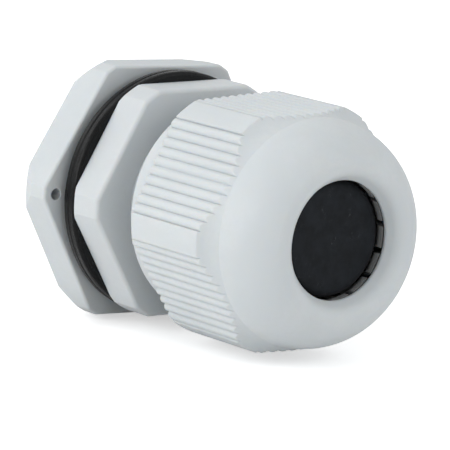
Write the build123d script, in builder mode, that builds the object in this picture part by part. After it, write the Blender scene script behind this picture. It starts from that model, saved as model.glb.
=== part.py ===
"""Cable gland, M20 x 1.5, light-grey polyamide, with flat gasket and locknut.

Frame: millimetres. +X runs along the gland towards the cable side, +Z is up.
The origin is on the gland axis, in the rear face of the hexagon flange (the
face that presses the gasket against a panel).  The entry thread and the
locknut lie at negative X, the dome cap at positive X.

Angles around the axis are counted from +Z towards +Y.
"""
import os
from math import cos, radians, sin, sqrt

from build123d import *

os.makedirs("parts", exist_ok=True)

# ---------------------------------------------------------------- dimensions
# threads (M20 x 1.5, moulded, with running clearance between the pairs)
pitch = 1.5
male_root_r = 9.02
male_tip_r = 9.93
male_root_w = 1.30  # axial width of the ridge at radius male_root_r - 0.07
male_tip_w = 0.24
female_root_r = 10.05
female_tip_r = 9.16
female_root_w = 1.21
female_tip_w = 0.18

# gland body
entry_len = 9.0  # entry thread, measured from the flange
flange_t = 4.30
flange_af = 24.0
flange_corner_r = 13.30
flange_fillet = 0.45
cap_thread_x0 = 5.30
cap_thread_x1 = 12.90
bore_r = 6.60
seat_x = 12.05  # shoulder behind the sealing insert
claw_in_r = 7.60
claw_out_r = 8.70

# claw fingers
finger_count = 14
finger_phase = 53.6  # angle of one slot
finger_slot = 0.62
pivot_x = 16.0
pivot_r = 8.15
knuckle_r = 0.60
socket_r = 0.64

# sealing insert and blanking disc
seal_x0, seal_x1 = 13.70, 22.95
seal_out_r, seal_front_r, seal_in_r = 7.48, 6.55, 5.75
disc_x0, disc_x1 = 23.10, 26.50
disc_r = 6.10
disc_round = 0.85

# dome cap
cap_turn = -2.3  # angle of the first ribbed face
cap_rear_x = 7.40
collar_r = 11.35
rib_x0 = 10.15
land_r = 13.30
rib_crest = 12.20
rib_valley = 11.84
rib_count = 10
rib_half_width = 5.30
bevel_x0 = 21.25
blend_x1, blend_r1 = 23.50, 11.78  # end of the hollow curve that runs the ribs into the dome
dome_x0 = 22.60
dome_r = 11.92
mouth_r = 6.18
lip_x = 27.15

# flat gasket
gasket_t = 2.00
gasket_r = 13.10
gasket_bore_r = 10.05
gasket_gap = 0.02

# locknut
nut_turn = 2.4
nut_af = 26.6
nut_x0 = -2.75
nut_t = 4.40
nut_corner_r = 15.00
nut_rear_r = 14.20
nut_bevel = 2.00
nut_fillet = 0.30
dimple_r = 0.62
dimple_depth = 2.60


def around(r, angle):
    """Point in the YZ sketch plane at radius r and angle from +Z towards +Y."""
    return (r * sin(radians(angle)), r * cos(radians(angle)))


def on_face(t, a, angle):
    """Point of a flat face with outward normal at angle: t along it, a out."""
    s, c = sin(radians(angle)), cos(radians(angle))
    return (a * s + t * c, a * c - t * s)


def hexagon(apothem, angle):
    """Corner points of a hexagon with one flat facing angle."""
    return [around(apothem / cos(radians(30)), angle + 30 + 60 * k) for k in range(6)]


# ------------------------------------------------------------------- threads
# entry thread ridge, x = -9 .. -0.7
with BuildPart() as entry_ridge:
    with BuildLine() as entry_path:
        Helix(pitch=pitch, height=pitch * 7, radius=male_root_r - 0.07,
              center=(-entry_len - 0.75, 0, 0), direction=(1, 0, 0))
    with BuildSketch(Plane(origin=entry_path.line @ 0, x_dir=(1, 0, 0), z_dir=entry_path.line % 0)):
        with BuildLine():
            h = male_tip_r - male_root_r + 0.07
            Polyline((-male_root_w / 2, 0), (male_root_w / 2, 0),
                     (male_tip_w / 2, h), (-male_tip_w / 2, h), close=True)
        make_face()
    sweep(path=entry_path.line, is_frenet=True)
    # leave only the part inside an envelope with chamfered ends
    with BuildSketch(Plane.XY):
        with BuildLine():
            Polyline((-entry_len, 7), (-entry_len, 8.85), (-entry_len + 1.2, 10.05),
                     (-1.45, 10.05), (-0.7, 9.3), (-0.7, 7), close=True)
        make_face()
    revolve(axis=Axis.X, mode=Mode.INTERSECT)

# cap thread ridge on the body
with BuildPart() as cap_ridge:
    with BuildLine() as cap_path:
        Helix(pitch=pitch, height=pitch * 7, radius=male_root_r - 0.07,
              center=(cap_thread_x0 - 1.05, 0, 0), direction=(1, 0, 0))
    with BuildSketch(Plane(origin=cap_path.line @ 0, x_dir=(1, 0, 0), z_dir=cap_path.line % 0)):
        with BuildLine():
            h = male_tip_r - male_root_r + 0.07
            Polyline((-male_root_w / 2, 0), (male_root_w / 2, 0),
                     (male_tip_w / 2, h), (-male_tip_w / 2, h), close=True)
        make_face()
    sweep(path=cap_path.line, is_frenet=True)
    with BuildSketch(Plane.XY):
        with BuildLine():
            Polyline((cap_thread_x0 + 0.12, 7), (cap_thread_x0 + 0.12, 9.25),
                     (cap_thread_x0 + 0.92, 10.05), (cap_thread_x1 - 1.35, 10.05),
                     (cap_thread_x1 - 0.25, 8.95), (cap_thread_x1 - 0.25, 7), close=True)
        make_face()
    revolve(axis=Axis.X, mode=Mode.INTERSECT)

# ---------------------------------------------------------------- gland body
with BuildPart() as flange:
    with BuildSketch(Plane.YZ):
        Polygon(*hexagon(flange_af / 2, 0), align=None)
        Circle(male_root_r - 1, mode=Mode.SUBTRACT)
    extrude(amount=flange_t)
    with BuildSketch(Plane.XY):
        with BuildLine():
            Polyline((0, 7), (0, 13.0), (0.35, flange_corner_r),
                     (flange_t, flange_corner_r), (flange_t, 7), close=True)
        make_face()
    revolve(axis=Axis.X, mode=Mode.INTERSECT)
    front = flange.faces().sort_by(Axis.X)[-1]
    fillet(front.outer_wire().edges(), radius=flange_fillet)

with BuildPart() as gland_body:
    with BuildSketch(Plane.XY):
        with BuildLine():
            Polyline(
                (-entry_len, bore_r + 0.5), (-entry_len, 8.55), (-entry_len + 0.47, male_root_r),
                (-0.7, male_root_r), (-0.35, male_root_r - 0.1), (0, male_root_r - 0.1),
                (0, 9.6), (flange_t, 9.6), (flange_t, male_root_r - 0.1),
                (cap_thread_x0 - 0.2, male_root_r - 0.1), (cap_thread_x0, male_root_r),
                (cap_thread_x1 - 0.17, male_root_r), (cap_thread_x1, male_root_r - 0.17),
                (cap_thread_x1 + 0.15, claw_out_r), (15.673, claw_out_r),
            )
            ThreePointArc((15.673, claw_out_r), (pivot_x - socket_r, pivot_r), (15.673, claw_in_r))
            Polyline((15.673, claw_in_r), (seat_x, claw_in_r), (seat_x - 0.02, bore_r + 0.25),
                     (seat_x - 0.25, bore_r), (-entry_len + 0.5, bore_r), (-entry_len, bore_r + 0.5))
        make_face()
    revolve(axis=Axis.X)
    add(flange.part)
    add(entry_ridge.part)
    add(cap_ridge.part)
gland_body.part.label = "gland_body"

# -------------------------------------------------------------- claw fingers
with BuildPart() as finger_blank:
    with BuildSketch(Plane.XY):
        with BuildLine():
            ThreePointArc((15.76, claw_out_r), (pivot_x - knuckle_r, pivot_r), (15.76, claw_in_r))
            Polyline((15.76, claw_in_r), (21.00, 7.35), (23.00, 7.06), (24.45, 7.05),
                     (25.10, 6.86), (25.50, 6.61), (25.90, 6.33), (26.20, 6.24), (26.85, 6.22),
                     (26.85, 6.36), (26.20, 6.78), (25.70, 7.09), (24.20, 7.95), (22.00, 8.45),
                     (15.76, claw_out_r))
        make_face()
    revolve(axis=Axis.X)
    half = 180 / finger_count
    apex = finger_slot / 2 / sin(radians(half))
    with BuildSketch(Plane.YZ.offset(15)):
        Polygon((0, apex), (12 * sin(radians(half)), apex + 12 * cos(radians(half))),
                (-12 * sin(radians(half)), apex + 12 * cos(radians(half))), align=None)
    extrude(amount=13, mode=Mode.INTERSECT)

finger_parts = {}
for i in range(finger_count):
    angle = finger_phase + (i + 0.5) * 360 / finger_count
    name = f"claw_finger_{i + 1:02d}"
    piece = finger_blank.part.rotate(Axis.X, -angle)
    piece.label = name
    finger_parts[name] = piece

# ------------------------------------------------------------ sealing insert
with BuildPart() as sealing_insert:
    with BuildSketch(Plane.XY):
        with BuildLine():
            Polyline((seal_x0, seal_in_r + 0.35), (seal_x0, seal_out_r - 0.25),
                     (seal_x0 + 0.25, seal_out_r), (pivot_x, seal_out_r),
                     (seal_x1 - 0.2, seal_front_r), (seal_x1, seal_front_r - 0.2),
                     (seal_x1, seal_in_r + 0.2), (seal_x1 - 0.2, seal_in_r),
                     (seal_x0 + 0.5, seal_in_r), close=True)
        make_face()
    revolve(axis=Axis.X)
sealing_insert.part.label = "sealing_insert"

# ------------------------------------------------------------- blanking disc
with BuildPart() as blanking_disc:
    with BuildSketch(Plane.YZ.offset(disc_x0)):
        Circle(disc_r)
    extrude(amount=disc_x1 - disc_x0)
    fillet(blanking_disc.faces().sort_by(Axis.X)[-1].edges(), radius=disc_round)
    chamfer(blanking_disc.faces().sort_by(Axis.X)[0].edges(), length=0.3)
blanking_disc.part.label = "blanking_disc"

# ------------------------------------------------------------------ dome cap
with BuildPart() as grip:
    with BuildSketch(Plane.YZ.offset(rib_x0)):
        with BuildLine():
            step = 2 * rib_half_width / rib_count
            land_t = rib_half_width + 0.10
            land_a = sqrt(land_r**2 - land_t**2)
            for k in range(6):
                a = cap_turn + 60 * k
                for j in range(rib_count):
                    t = -rib_half_width + j * step
                    ThreePointArc(on_face(t, rib_valley, a), on_face(t + step / 2, rib_crest, a),
                                  on_face(t + step, rib_valley, a))
                Line(on_face(rib_half_width, rib_valley, a), on_face(land_t, land_a, a))
                ThreePointArc(on_face(land_t, land_a, a), around(land_r, a + 30),
                              on_face(-land_t, land_a, a + 60))
                Line(on_face(-land_t, land_a, a + 60), on_face(-rib_half_width, rib_valley, a + 60))
        make_face()
    extrude(amount=blend_x1 - rib_x0)
    with BuildSketch(Plane.XY):
        with BuildLine():
            Polyline((rib_x0, 0), (rib_x0, land_r - 0.25), (rib_x0 + 0.25, land_r),
                     (bevel_x0, land_r))
            Spline((bevel_x0, land_r), (blend_x1, blend_r1), tangents=((1, -1.2), (1, -0.35)))
            Polyline((blend_x1, blend_r1), (blend_x1, 0), (rib_x0, 0))
        make_face()
    revolve(axis=Axis.X, mode=Mode.INTERSECT)

with BuildPart() as cap_female_ridge:
    with BuildLine() as cap_female_path:
        Helix(pitch=pitch, height=pitch * 5, radius=female_root_r + 0.07,
              center=(cap_thread_x0 - 1.05 + 0.75 + 1 * pitch, 0, 0), direction=(1, 0, 0))
    with BuildSketch(Plane(origin=cap_female_path.line @ 0, x_dir=(1, 0, 0),
                           z_dir=cap_female_path.line % 0)):
        with BuildLine():
            h = female_root_r + 0.07 - female_tip_r
            Polyline((-female_root_w / 2, 0), (female_root_w / 2, 0),
                     (female_tip_w / 2, -h), (-female_tip_w / 2, -h), close=True)
        make_face()
    sweep(path=cap_female_path.line, is_frenet=True)
    with BuildSketch(Plane.XY):
        with BuildLine():
            Polyline((8.2, 10.6), (8.2, 10.0), (9.05, 9.1), (12.5, 9.1), (13.35, 10.0),
                     (13.35, 10.6), close=True)
        make_face()
    revolve(axis=Axis.X, mode=Mode.INTERSECT)

with BuildPart() as dome_cap:
    with BuildSketch(Plane.XY):
        with BuildLine():
            Polyline((28.05, 6.57), (28.05, 0), (cap_rear_x, 0), (cap_rear_x, collar_r - 0.3),
                     (cap_rear_x + 0.3, collar_r), (rib_x0 + 0.5, collar_r),
                     (rib_x0 + 0.5, dome_r), (dome_x0, dome_r))
            dome = EllipticalCenterArc((dome_x0, 7.0), 6.5, dome_r - 7.0, start_angle=20,
                                       arc_size=70)
            tip = dome @ 0
            lip = TangentArc((tip.X, tip.Y), (28.05, 6.57), tangent=(0.435, -0.90))
        make_face()
    revolve(axis=Axis.X)
    add(grip.part)
    # cavity: thread bore, room for the claw, closing cone, mouth
    with BuildSketch(Plane.XY):
        with BuildLine():
            Polyline((30, 0), (30, 7.74), (28.05, 6.57), (lip_x + 0.30, mouth_r),
                     (lip_x, mouth_r), (26.95, 6.44), (26.20, 7.12), (25.55, 7.66),
                     (25.00, 7.97), (23.00, 8.88), (21.30, 9.40), (15.20, 9.40),
                     (14.60, female_root_r), (cap_rear_x + 0.4, female_root_r),
                     (cap_rear_x - 0.1, female_root_r + 0.5), (cap_rear_x - 0.1, 0), close=True)
        make_face()
    revolve(axis=Axis.X, mode=Mode.SUBTRACT)
    add(cap_female_ridge.part)
dome_cap.part.label = "dome_cap"

# --------------------------------------------------------------- flat gasket
with BuildPart() as flat_gasket:
    with BuildSketch(Plane.YZ.offset(-gasket_gap - gasket_t)):
        Circle(gasket_r)
        Circle(gasket_bore_r, mode=Mode.SUBTRACT)
    extrude(amount=gasket_t)
    fillet(flat_gasket.edges().filter_by(GeomType.CIRCLE).filter_by(
        lambda e: abs(e.radius - gasket_r) < 0.01), radius=0.25)
flat_gasket.part.label = "flat_gasket"

# ------------------------------------------------------------------- locknut
with BuildPart() as nut_ridge:
    with BuildLine() as nut_path:
        Helix(pitch=pitch, height=pitch * 5, radius=female_root_r + 0.07,
              center=(-entry_len - 0.75 + 0.75 + 1 * pitch, 0, 0), direction=(1, 0, 0))
    with BuildSketch(Plane(origin=nut_path.line @ 0, x_dir=(1, 0, 0), z_dir=nut_path.line % 0)):
        with BuildLine():
            h = female_root_r + 0.07 - female_tip_r
            Polyline((-female_root_w / 2, 0), (female_root_w / 2, 0),
                     (female_tip_w / 2, -h), (-female_tip_w / 2, -h), close=True)
        make_face()
    sweep(path=nut_path.line, is_frenet=True)
    with BuildSketch(Plane.XY):
        with BuildLine():
            Polyline((nut_x0 - 0.45, 10.6), (nut_x0 - 0.45, 9.95), (nut_x0 - 1.25, 9.1),
                     (nut_x0 - nut_t + 1.25, 9.1), (nut_x0 - nut_t + 0.45, 9.95),
                     (nut_x0 - nut_t + 0.45, 10.6), close=True)
        make_face()
    revolve(axis=Axis.X, mode=Mode.INTERSECT)

with BuildPart() as locknut:
    with BuildSketch(Plane.YZ.offset(nut_x0 - nut_t)):
        Polygon(*hexagon(nut_af / 2, nut_turn), align=None)
    extrude(amount=nut_t)
    # corners turned off, rear edge bevelled
    with BuildSketch(Plane.XY):
        with BuildLine():
            Polyline((nut_x0 - nut_t, 0), (nut_x0 - nut_t, nut_rear_r),
                     (nut_x0 - nut_t + nut_bevel, nut_corner_r),
                     (nut_x0, nut_corner_r), (nut_x0, 0), close=True)
        make_face()
    revolve(axis=Axis.X, mode=Mode.INTERSECT)
    nut_front = locknut.faces().sort_by(Axis.X)[-1]
    fillet(nut_front.outer_wire().edges(), radius=nut_fillet)
    # thread bore with a countersink at both ends
    with BuildSketch(Plane.XY):
        with BuildLine():
            Polyline((nut_x0 + 0.1, 0), (nut_x0 + 0.1, 10.55), (nut_x0 - 0.4, female_root_r),
                     (nut_x0 - nut_t + 0.4, female_root_r), (nut_x0 - nut_t - 0.1, 10.55),
                     (nut_x0 - nut_t - 0.1, 0), close=True)
        make_face()
    revolve(axis=Axis.X, mode=Mode.SUBTRACT)
    # small round moulding mark near one corner of the front face
    with BuildSketch(Plane.YZ.offset(nut_x0)):
        with Locations(around(13.45, -88.2)):
            Circle(dimple_r)
    extrude(amount=-dimple_depth, mode=Mode.SUBTRACT)
    add(nut_ridge.part)
locknut.part.label = "locknut"

# -------------------------------------------------------------------- export
export_step(gland_body.part, "parts/gland_body.step")
for name, piece in finger_parts.items():
    export_step(piece, f"parts/{name}.step")
export_step(sealing_insert.part, "parts/sealing_insert.step")
export_step(blanking_disc.part, "parts/blanking_disc.step")
export_step(dome_cap.part, "parts/dome_cap.step")
export_step(flat_gasket.part, "parts/flat_gasket.step")
export_step(locknut.part, "parts/locknut.step")
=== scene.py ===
"""Looks for a light-grey cable gland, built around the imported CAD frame."""

import math

import bmesh
import bpy
from mathutils import Matrix, Vector


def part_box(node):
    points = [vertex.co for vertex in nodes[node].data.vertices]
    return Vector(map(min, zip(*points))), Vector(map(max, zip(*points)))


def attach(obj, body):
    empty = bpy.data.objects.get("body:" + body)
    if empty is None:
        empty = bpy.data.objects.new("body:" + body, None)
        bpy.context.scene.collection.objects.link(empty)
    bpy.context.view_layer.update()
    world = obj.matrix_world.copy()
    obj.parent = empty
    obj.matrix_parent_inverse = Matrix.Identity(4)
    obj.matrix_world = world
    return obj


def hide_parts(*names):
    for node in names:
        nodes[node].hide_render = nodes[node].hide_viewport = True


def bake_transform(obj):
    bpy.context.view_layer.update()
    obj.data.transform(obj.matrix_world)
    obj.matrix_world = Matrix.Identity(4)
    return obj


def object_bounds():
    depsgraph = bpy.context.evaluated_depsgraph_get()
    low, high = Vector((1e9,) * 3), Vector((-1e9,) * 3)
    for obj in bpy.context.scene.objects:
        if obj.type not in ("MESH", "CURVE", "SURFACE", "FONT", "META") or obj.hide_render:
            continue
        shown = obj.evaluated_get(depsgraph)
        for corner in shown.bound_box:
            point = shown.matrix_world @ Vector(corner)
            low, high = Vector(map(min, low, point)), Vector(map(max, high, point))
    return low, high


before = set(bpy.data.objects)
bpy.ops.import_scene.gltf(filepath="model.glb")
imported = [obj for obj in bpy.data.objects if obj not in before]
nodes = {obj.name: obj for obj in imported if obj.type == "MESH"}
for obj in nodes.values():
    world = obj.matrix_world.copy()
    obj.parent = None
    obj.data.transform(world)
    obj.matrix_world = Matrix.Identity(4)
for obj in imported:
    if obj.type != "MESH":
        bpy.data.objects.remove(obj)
cad_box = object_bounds()
MM = 0.001
FINGERS = [n for n in sorted(nodes) if n.startswith("claw_finger_")]


# ------------------------------------------------------------------ node helpers
class Tree:
    """Short hand for building a shader node tree."""

    def __init__(self, mat):
        mat.use_nodes = True
        self.t = mat.node_tree
        self.t.nodes.clear()

    def node(self, kind, inputs=None, **props):
        n = self.t.nodes.new(kind)
        for k, v in props.items():
            setattr(n, k, v)
        for k, v in (inputs or {}).items():
            s = n.inputs[k]
            if isinstance(v, bpy.types.NodeSocket):
                self.t.links.new(v, s)
            else:
                s.default_value = v
        return n

    def math(self, op, a, b=0.0, c=0.0, clamp=False):
        n = self.node("ShaderNodeMath", operation=op, use_clamp=clamp)
        for i, v in enumerate((a, b, c)):
            if isinstance(v, bpy.types.NodeSocket):
                self.t.links.new(v, n.inputs[i])
            else:
                n.inputs[i].default_value = v
        return n.outputs[0]

    def coords(self, scale=1000.0, offset=(0, 0, 0)):
        """The piece's own rest coordinates in millimetres, shifted by offset."""
        tc = self.node("ShaderNodeTexCoord")
        m = self.node("ShaderNodeMapping", {"Vector": tc.outputs["Object"]})
        m.inputs["Scale"].default_value = (scale,) * 3
        m.inputs["Location"].default_value = offset
        return m.outputs[0]

    def around(self, vec, radius=10.0):
        """Coordinates unrolled about the gland's axis: x along it, y outwards, z around it, in mm."""
        s = self.node("ShaderNodeSeparateXYZ", {"Vector": vec})
        r = self.math("SQRT", self.math("ADD", self.math("MULTIPLY", s.outputs[1], s.outputs[1]),
                                        self.math("MULTIPLY", s.outputs[2], s.outputs[2])))
        a = self.math("MULTIPLY", self.math("ARCTAN2", s.outputs[1], s.outputs[2]), radius)
        return self.node("ShaderNodeCombineXYZ", {"X": s.outputs[0], "Y": r, "Z": a}).outputs[0]

    def stretch(self, vec, x, y, z):
        return self.node("ShaderNodeVectorMath", {0: vec, 1: (x, y, z)}, operation="MULTIPLY").outputs[0]

    def noise(self, vec, scale, detail=3.0, rough=0.5, distort=0.0):
        n = self.node("ShaderNodeTexNoise", {"Vector": vec, "Scale": scale, "Detail": detail,
                                             "Roughness": rough, "Distortion": distort})
        return n.outputs["Fac"]

    def ramp(self, fac, x0, x1, y0=0.0, y1=1.0, smooth=True):
        n = self.node("ShaderNodeMapRange", {"Value": fac, "From Min": x0, "From Max": x1,
                                             "To Min": y0, "To Max": y1})
        n.interpolation_type = "SMOOTHSTEP" if smooth else "LINEAR"
        return n.outputs[0]

    def mix(self, fac, a, b, blend="MIX"):
        n = self.node("ShaderNodeMix", data_type="RGBA", blend_type=blend)
        for i, v in ((0, fac), (6, a), (7, b)):
            if isinstance(v, bpy.types.NodeSocket):
                self.t.links.new(v, n.inputs[i])
            else:
                n.inputs[i].default_value = v
        return n.outputs[2]

    def specks(self, vec, scale, share, radius):
        """Sparse round specks: 1 inside a speck, 0 outside.  share of the cells hold one."""
        v = self.node("ShaderNodeTexVoronoi", {"Vector": vec, "Scale": scale, "Randomness": 1.0})
        inside = self.ramp(v.outputs["Distance"], radius, radius * 0.45)
        sep = self.node("ShaderNodeSeparateColor", {"Color": v.outputs["Color"]})
        on = self.math("LESS_THAN", sep.outputs[0], share)
        return self.math("MULTIPLY", inside, on)

    def bump(self, height, distance, strength=1.0, normal=None):
        n = self.node("ShaderNodeBump", {"Height": height, "Distance": distance, "Strength": strength})
        if normal is not None:
            self.t.links.new(normal, n.inputs["Normal"])
        return n.outputs[0]

    def finish(self, color, rough, normal, **more):
        b = self.node("ShaderNodeBsdfPrincipled")
        for k, v in {"Base Color": color, "Roughness": rough, "Normal": normal, **more}.items():
            if v is None:
                continue
            if isinstance(v, bpy.types.NodeSocket):
                self.t.links.new(v, b.inputs[k])
            else:
                b.inputs[k].default_value = v
        out = self.node("ShaderNodeOutputMaterial", {"Surface": b.outputs[0]})
        return b


def rgb(r, g, b):
    return (r, g, b, 1.0)


# --------------------------------------------------------------------- materials
def nylon(name, base, offset=(0, 0, 0), edge=0.20, shade_reach=5.0, shade_depth=0.22):
    """Moulded light-grey polyamide: spark-eroded grain, soft edges, flow clouds, scuffs, a few specks, painted shade
    in corners and gaps.
    """
    mat = bpy.data.materials.new(name)
    t = Tree(mat)
    p = t.coords(offset=offset)
    # rounded look of moulded edges, and a mask of where the edges are
    bevel = t.node("ShaderNodeBevel", {"Radius": edge * MM}, samples=8)
    geo = t.node("ShaderNodeNewGeometry")
    dot = t.node("ShaderNodeVectorMath", {0: bevel.outputs[0], 1: geo.outputs["Normal"]},
                 operation="DOT_PRODUCT")
    edge_mask = t.ramp(dot.outputs["Value"], 0.995, 0.86)
    # colour: slow flow clouds, fine mottling, rubbed edges, scuffs, contact specks
    cloud = t.noise(p, 0.10, 3.0, 0.55, 0.6)
    mottle = t.noise(p, 2.3, 4.0, 0.6)
    flow = t.noise(t.stretch(p, 0.35, 1.0, 1.0), 0.8, 3.0, 0.55, 1.2)
    r, g, b = base
    c = t.mix(t.ramp(cloud, 0.35, 0.68), rgb(r * 0.962, g * 0.968, b * 0.976), rgb(r * 1.02, g * 1.02, b * 1.018))
    c = t.mix(t.ramp(flow, 0.42, 0.62, 0.0, 0.35), c, rgb(r * 0.97, g * 0.972, b * 0.972))
    c = t.mix(t.ramp(mottle, 0.3, 0.75, 0.0, 0.4), c, rgb(r * 0.955, g * 0.96, b * 0.962))
    c = t.mix(t.math("MULTIPLY", edge_mask, 0.30), c, rgb(r * 1.06, g * 1.06, b * 1.06))
    # painted shade: corners and gaps are darkened toward a warm dark grey through an ambient-occlusion mask
    ao = t.node("ShaderNodeAmbientOcclusion", {"Distance": shade_reach * MM}, samples=6)
    painted_shade = t.ramp(ao.outputs["AO"], 0.85, 0.15, 0.0, shade_depth)
    c = t.mix(painted_shade, c, rgb(r * 0.40, g * 0.385, b * 0.37))
    dirt = t.specks(p, 0.42, 0.13, 0.026)
    c = t.mix(t.math("MULTIPLY", dirt, 0.55), c, rgb(0.20, 0.19, 0.18))
    # hair scuffs: thin crossings of a stretched, distorted noise, only in places
    hair = t.noise(t.stretch(p, 0.5, 2.2, 1.4), 0.55, 2.0, 0.45, 1.8)
    line = t.math("ABSOLUTE", t.math("SUBTRACT", hair, 0.5))
    line = t.ramp(line, 0.006, 0.0)
    where = t.ramp(t.noise(p, 0.28, 2.0, 0.5), 0.56, 0.66)
    scuff = t.math("MULTIPLY", line, where)
    c = t.mix(t.math("MULTIPLY", scuff, 0.35), c, rgb(r * 1.12, g * 1.12, b * 1.12))
    # roughness
    rough = t.ramp(t.noise(p, 0.9, 3.0, 0.6), 0.3, 0.7, 0.44, 0.54)
    rough = t.math("SUBTRACT", rough, t.math("MULTIPLY", edge_mask, 0.07))
    rough = t.math("SUBTRACT", rough, t.math("MULTIPLY", scuff, 0.15))
    # relief: fine grain, then slow sink of the skin, then the scuffs
    grain = t.noise(p, 8.0, 3.0, 0.65)
    n1 = t.bump(grain, 0.004 * MM, 0.9, bevel.outputs[0])
    sink = t.noise(p, 0.35, 2.0, 0.5)
    n2 = t.bump(sink, 0.05 * MM, 0.5, n1)
    n3 = t.bump(scuff, 0.006 * MM, -0.6, n2)
    t.finish(c, rough, n3, **{"IOR": 1.5, "Specular IOR Level": 0.40,
                              "Subsurface Weight": 0.45, "Subsurface Radius": (1.0, 0.72, 0.50),
                              "Subsurface Scale": 0.70 * MM, "Sheen Weight": 0.03})
    return mat


def rubber(name, base, rough0, rough1, offset=(0, 0, 0), dust=0.2, grain=0.010, spec=0.5,
           streaks=0.0, scratches=0.0):
    """Black rubber: dull skin, fine grain, settled dust, tool streaks around the axis with painted highlights along
    some of them, hair scratches.
    """
    mat = bpy.data.materials.new(name)
    t = Tree(mat)
    raw = t.coords()
    p = t.coords(offset=offset)
    cloud = t.noise(p, 0.5, 4.0, 0.6)
    r, g, b = base
    c = t.mix(t.ramp(cloud, 0.32, 0.7), rgb(r * 0.75, g * 0.75, b * 0.75), rgb(r * 1.3, g * 1.3, b * 1.3))
    bloom = t.noise(p, 3.5, 5.0, 0.7)
    c = t.mix(t.ramp(bloom, 0.56, 0.8, 0.0, 0.25), c, rgb(r * 2.2, g * 2.2, b * 2.3))
    s1 = t.specks(p, 1.3, dust, 0.040)
    s2 = t.specks(p, 2.9, dust * 0.6, 0.060)
    specks = t.math("MAXIMUM", s1, t.math("MULTIPLY", s2, 0.45))
    c = t.mix(t.math("MULTIPLY", specks, 0.75), c, rgb(0.26, 0.27, 0.28))
    rough = t.ramp(t.noise(p, 1.3, 4.0, 0.6), 0.3, 0.7, rough0, rough1)
    n = t.bump(t.noise(p, 7.0, 4.0, 0.7), grain * MM, 1.0)
    n = t.bump(specks, 0.02 * MM, 0.6, n)
    if streaks:
        u = t.around(raw, 13.0)
        fine = t.noise(t.stretch(u, 7.0, 5.0, 0.35), 1.0, 4.0, 0.65, 0.3)
        n = t.bump(fine, streaks * MM, 1.0, n)
        rough = t.math("ADD", rough, t.ramp(fine, 0.35, 0.7, -0.10, 0.12))
        # painted highlight: some streaks are lightened toward grey in the colour, standing for glossy reflections
        # along them
        highlight_patch = t.noise(t.stretch(u, 0.6, 0.6, 0.16), 1.0, 3.0, 0.5)
        c = t.mix(t.math("MULTIPLY", t.ramp(fine, 0.60, 0.74), t.ramp(highlight_patch, 0.5, 0.62, 0.0, 0.5)), c,
                  rgb(0.12, 0.125, 0.13))
    if scratches:
        hair = t.noise(t.stretch(p, 1.0, 1.6, 0.8), 0.8, 1.0, 0.4, 2.2)
        line = t.ramp(t.math("ABSOLUTE", t.math("SUBTRACT", hair, 0.5)), 0.007, 0.0)
        where = t.ramp(t.noise(p, 0.55, 2.0, 0.5), 0.56, 0.64)
        line = t.math("MULTIPLY", line, where)
        c = t.mix(t.math("MULTIPLY", line, scratches), c, rgb(0.09, 0.095, 0.10))
        n = t.bump(line, 0.01 * MM, -0.6, n)
    t.finish(c, rough, n, **{"IOR": 1.52, "Specular IOR Level": spec, "Sheen Weight": 0.04,
                             "Sheen Roughness": 0.6})
    return mat


BODY_GREY = (0.655, 0.685, 0.70)
CAP_GREY = (0.665, 0.70, 0.715)
NUT_GREY = (0.645, 0.68, 0.695)
m_body = nylon("body_nylon", BODY_GREY, (3.1, 7.7, 1.3), edge=0.13)
m_cap = nylon("cap_nylon", CAP_GREY, (11.4, 2.9, 5.2), edge=0.30, shade_reach=3.0, shade_depth=0.10)
# claw fingers: the same grey nylon painted much darker, with strong painted shade in the gaps, for the shade deep
# inside the cap
m_claw_painted_shade = nylon("claw_nylon_painted_shade", (0.30, 0.31, 0.315), (7.1, 3.7, 2.2), edge=0.10, shade_reach=3.0, shade_depth=0.85)
m_nut = nylon("nut_nylon", NUT_GREY, (6.3, 4.4, 8.8), edge=0.13, shade_depth=0.26)
m_disc = rubber("disc_rubber_skin", (0.0085, 0.0105, 0.0135), 0.58, 0.72, (1.0, 2.0, 3.0), dust=0.12,
                spec=0.13, scratches=0.9)
m_gasket = rubber("gasket_rubber_skin", (0.0020, 0.0022, 0.0025), 0.17, 0.30, (5.0, 1.0, 9.0), dust=0.16,
                  grain=0.014, spec=0.17, streaks=0.048)
m_seal = rubber("seal_rubber_skin", (0.014, 0.014, 0.015), 0.46, 0.62, (2.0, 8.0, 4.0), dust=0.06,
                streaks=0.010)

nodes["gland_body"].material_slots[0].material = m_body
for n in FINGERS:
    nodes[n].material_slots[0].material = m_claw_painted_shade
nodes["dome_cap"].material_slots[0].material = m_cap
nodes["locknut"].material_slots[0].material = m_nut
nodes["sealing_insert"].material_slots[0].material = m_seal
nodes["blanking_disc"].material_slots[0].material = m_disc
nodes["flat_gasket"].material_slots[0].material = m_gasket


# ------------------------------------------------------------------ soft pieces
def wave(angle, terms):
    """Smooth closed wobble, -1..1: terms are (count round the circle, phase, weight)."""
    return sum(w * math.sin(k * angle + ph) for k, ph, w in terms)


def rounded(points, steps=5):
    """Closed or open outline with its corners cut by quarter rounds; points are (x, r, corner radius)."""
    out = []
    n = len(points)
    for i, (x, r, c) in enumerate(points):
        if c <= 0:
            out.append((x, r))
            continue
        px, pr, _ = points[(i - 1) % n]
        nx, nr, _ = points[(i + 1) % n]
        a = Vector((px - x, pr - r)).normalized()
        b = Vector((nx - x, nr - r)).normalized()
        half = a.angle(b) / 2
        d = c / math.tan(half)
        mid = (a + b).normalized() * (c / math.sin(half))
        centre = Vector((x, r)) + mid
        s0 = Vector((x, r)) + a * d - centre
        s1 = Vector((x, r)) + b * d - centre
        for k in range(steps + 1):
            f = k / steps
            v = s0.lerp(s1, f)
            v = v.normalized() * c
            out.append((centre.x + v.x, centre.y + v.y))
    return out


def subdivide(points, step, closed):
    """Outline with no side longer than step."""
    out = []
    n = len(points)
    for i in range(n if closed else n - 1):
        a, b = Vector(points[i]), Vector(points[(i + 1) % n])
        m = max(1, math.ceil((b - a).length / step))
        out += [tuple(a.lerp(b, k / m)) for k in range(m)]
    if not closed:
        out.append(tuple(points[-1]))
    return out


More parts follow.
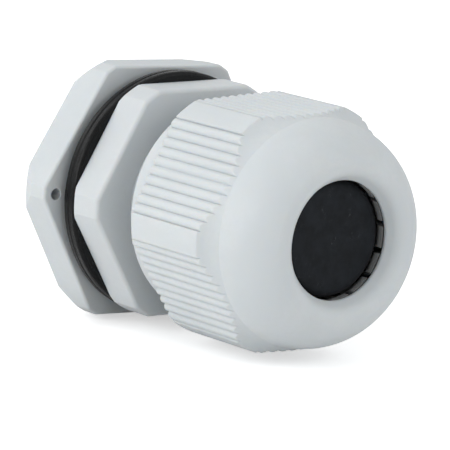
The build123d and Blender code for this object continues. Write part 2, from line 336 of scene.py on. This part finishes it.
def lathe(name, outline, segments, shift, closed):
    """Turns an (x, r) outline in mm about the gland's axis; shift(x, r, angle) gives the moved (x, r)."""
    bm = bmesh.new()
    rings = []
    for k in range(segments):
        a = 2 * math.pi * k / segments
        ring = []
        for x, r in outline:
            if r < 1e-6:
                ring.append(None)
                continue
            x2, r2 = shift(x, r, a)
            ring.append(bm.verts.new((x2 * MM, r2 * math.sin(a) * MM, r2 * math.cos(a) * MM)))
        rings.append(ring)
    poles = {}
    for i, (x, r) in enumerate(outline):
        if r < 1e-6:
            x2, _ = shift(x, 0.0, 0.0)
            poles[i] = bm.verts.new((x2 * MM, 0, 0))
    m = len(outline)
    for k in range(segments):
        p, q = rings[k], rings[(k + 1) % segments]
        for i in range(m if closed else m - 1):
            j = (i + 1) % m
            quad = [p[i] or poles[i], p[j] or poles[j], q[j] or poles.get(j), q[i] or poles.get(i)]
            face = []
            for v in quad:
                if v not in face:
                    face.append(v)
            bm.faces.new(face)
    bmesh.ops.recalc_face_normals(bm, faces=bm.faces)
    me = bpy.data.meshes.new(name)
    bm.to_mesh(me)
    bm.free()
    for f in me.polygons:
        f.use_smooth = True
    ob = bpy.data.objects.new(name, me)
    bpy.context.scene.collection.objects.link(ob)
    return ob


# flat gasket: punched ring with softly rounded rim, a cutting line round it and a slight waviness
def gasket_shift(x, r, a):
    near = max(0.0, min(1.0, (r - 11.6) / 1.4))
    low = 0.5 - 0.5 * wave(a, [(3, 0.4, 0.5), (5, 1.9, 0.3), (11, 2.7, 0.2)])
    fine = 0.5 - 0.5 * wave(a, [(61, 0.2, 0.4), (97, 1.1, 0.35), (143, 2.2, 0.25)])
    streak = math.sin(9.0 * x + 3.0 * math.sin(2 * a) + 1.5 * math.sin(7 * a)) * 0.5 + 0.5
    r2 = r - near * (0.05 * low + 0.008 * fine + 0.022 * streak)
    # faces pull in a little, never out of the ring's own thickness
    mid = gm
    x2 = mid + (x - mid) * (1 - 0.018 * (0.5 + 0.5 * wave(a + r, [(4, 0.3, 0.5), (9, 1.2, 0.5)])))
    return x2, r2


g_lo, g_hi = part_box("flat_gasket")
gx0, gx1, gr = g_lo.x / MM + 0.004, g_hi.x / MM - 0.004, g_hi.z / MM - 0.008
gm = (gx0 + gx1) / 2
rim = [(gx0, 10.10, 0.12), (gx1, 10.10, 0.12), (gx1, gr, 0.42), (gm + 0.15, gr, 0.05),
       (gm + 0.08, gr - 0.06, 0.04), (gm - 0.08, gr - 0.06, 0.04), (gm - 0.15, gr, 0.05), (gx0, gr, 0.42)]
gasket = lathe("gasket_ring", subdivide(rounded(rim), 0.16, True), 360, gasket_shift, True)
gasket.data.materials.append(m_gasket)
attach(gasket, "gasket")
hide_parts("flat_gasket")


# blanking disc: moulded rubber disc, crowned a little in front, rolled edge, recess and sprue mark behind
def disc_shift(x, r, a):
    if x > 24.8:
        dip = 0.05 * (1 - min(1.0, r / 5.6) ** 2)
        ripple = 0.010 * (0.5 + 0.5 * math.sin(3 * a + 0.9 * r)) * min(1.0, r / 2.0)
        return x - 0.012 - dip * (0.6 + 0.4 * math.cos(a - 0.7)) - ripple, r
    return x, r - 0.012 * (0.5 + 0.5 * math.sin(8 * a))


plug = [(26.50, 0.0, 0), (26.50, 6.085, 0.88), (25.05, 6.085, 0.03), (24.98, 6.04, 0.03), (24.86, 6.04, 0.03),
        (24.79, 6.085, 0.03), (23.11, 6.085, 0.22), (23.11, 5.05, 0.10), (23.55, 4.80, 0.14), (23.55, 1.10, 0.12),
        (23.30, 0.95, 0.10), (23.30, 0.0, 0)]
disc = lathe("blanking_plug", subdivide(rounded(plug), 0.20, False), 240, disc_shift, False)
disc.data.materials.append(m_disc)
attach(disc, "blanking_disc")
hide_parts("blanking_disc")


# sealing insert: sleeve with sealing beads in the bore and round the outside
def seal_shift(x, r, a):
    t = 0.010 * (0.5 + 0.5 * math.sin(6 * a + x))
    return x, r - t if r > 6.4 else r + t


inner, outer = [], []
for k in range(93):
    f = k / 92
    x = 13.95 + f * (22.70 - 13.95)
    bead = 0.5 + 0.5 * math.cos(2 * math.pi * (x - 13.95) / 1.75)
    inner.append((x, 5.78 + 0.42 * (1 - bead) ** 1.5))
    limit = 7.45 if x < 16.0 else 7.45 - (x - 16.0) * 0.93 / 6.75
    groove = 0.5 + 0.5 * math.cos(2 * math.pi * (x - 13.95) / 2.1875)
    outer.append((x, limit - 0.02 - 0.20 * (1 - groove) ** 2))
sleeve = [(13.72, 6.12)] + [(13.72, 7.10), (13.80, 7.28)] + outer + [(22.88, 6.38), (22.93, 6.25), (22.93, 6.02),
                                                                       (22.88, 5.90)] + inner[::-1] + [(13.80, 5.98)]
seal = lathe("seal_sleeve", subdivide(sleeve, 0.30, True), 180, seal_shift, True)
seal.data.materials.append(m_seal)
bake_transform(seal)
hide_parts("sealing_insert")

# ------------------------------------------------------------------------- stage
WORLD = 0.66
FLOOR_GLOW = 0.02  # light the floor gives off
FLOOR_LIFT = 0.50  # further brightness that only the camera sees, for a pale, even ground
LIGHTS = [
    # name, azimuth, elevation, distance m, size m, power W
    ("left", -10, 22, 0.6, 0.40, 1.24),
    ("rear_left", -70, 35, 0.6, 0.40, 0.32),
    ("top", 20, 78, 0.6, 0.40, 0.20),
    ("right", 115, 25, 0.6, 0.40, 0.38),
]

lo, hi = cad_box
floor_z = lo.z - 0.02 * MM
fm = bpy.data.meshes.new("floor")
fo = bpy.data.objects.new("floor", fm)
bpy.context.scene.collection.objects.link(fo)
bm = bmesh.new()
bmesh.ops.create_grid(bm, x_segments=1, y_segments=1, size=6.0)
bm.to_mesh(fm)
bm.free()
fo.location = (0, 0, floor_z)
m_floor = bpy.data.materials.new("floor_paper")
t = Tree(m_floor)
p = t.coords()
c = t.mix(t.noise(p, 0.05, 2.0), rgb(0.88, 0.88, 0.88), rgb(0.91, 0.91, 0.91))
path = t.node("ShaderNodeLightPath")
glow = t.math("ADD", t.math("MULTIPLY", path.outputs["Is Camera Ray"], FLOOR_LIFT), FLOOR_GLOW)
t.finish(c, 0.9, None, **{"Specular IOR Level": 0.1, "Emission Color": (1.0, 1.0, 1.0, 1.0),
                          "Emission Strength": glow})
fm.materials.append(m_floor)

world = bpy.data.worlds.new("studio")
bpy.context.scene.world = world
world.use_nodes = True
world.node_tree.nodes["Background"].inputs["Color"].default_value = (0.985, 0.995, 1.0, 1)
world.node_tree.nodes["Background"].inputs["Strength"].default_value = WORLD


def softbox(name, az, el, dist, size, power, color=(1, 1, 1), target=(0.010, 0, 0)):
    d = bpy.data.lights.new(name, "AREA")
    d.shape = "DISK"
    d.size = size
    d.energy = power
    d.color = color
    o = bpy.data.objects.new(name, d)
    bpy.context.scene.collection.objects.link(o)
    a, e = math.radians(az), math.radians(el)
    back = Vector((math.sin(a) * math.cos(e), -math.cos(a) * math.cos(e), math.sin(e)))
    o.location = Vector(target) + back * dist
    o.rotation_mode = "QUATERNION"
    o.rotation_quaternion = (-back).to_track_quat("-Z", "Y")
    return o


for light in LIGHTS:
    softbox(*light)

# ------------------------------------------------------------------------ camera
AZ, EL, ROLL = math.radians(51.813), math.radians(10.766), math.radians(2.925)
back = Vector((math.sin(AZ) * math.cos(EL), -math.cos(AZ) * math.cos(EL), math.sin(EL)))
right = Vector((math.cos(AZ), math.sin(AZ), 0))
up = back.cross(right)
R = right * math.cos(ROLL) + up * math.sin(ROLL)
U = -right * math.sin(ROLL) + up * math.cos(ROLL)
cam_data = bpy.data.cameras.new("camera")
cam = bpy.data.objects.new("camera", cam_data)
bpy.context.scene.collection.objects.link(cam)
cam_data.sensor_width = 36.0
cam_data.lens = 3884.444 * 36.0 / 450.0
cam_data.shift_x = (225 - 226.912) / 450.0
cam_data.shift_y = (225.464 - 225) / 450.0
cam_data.clip_start, cam_data.clip_end = 0.01, 20.0
position = (back * 410.966 - R * -5.522 - U * 3.359) * MM
m = Matrix((R, U, back)).transposed().to_4x4()
m.translation = position
cam.matrix_world = m
bpy.context.scene.camera = cam

bpy.context.scene.view_settings.view_transform = "Standard"
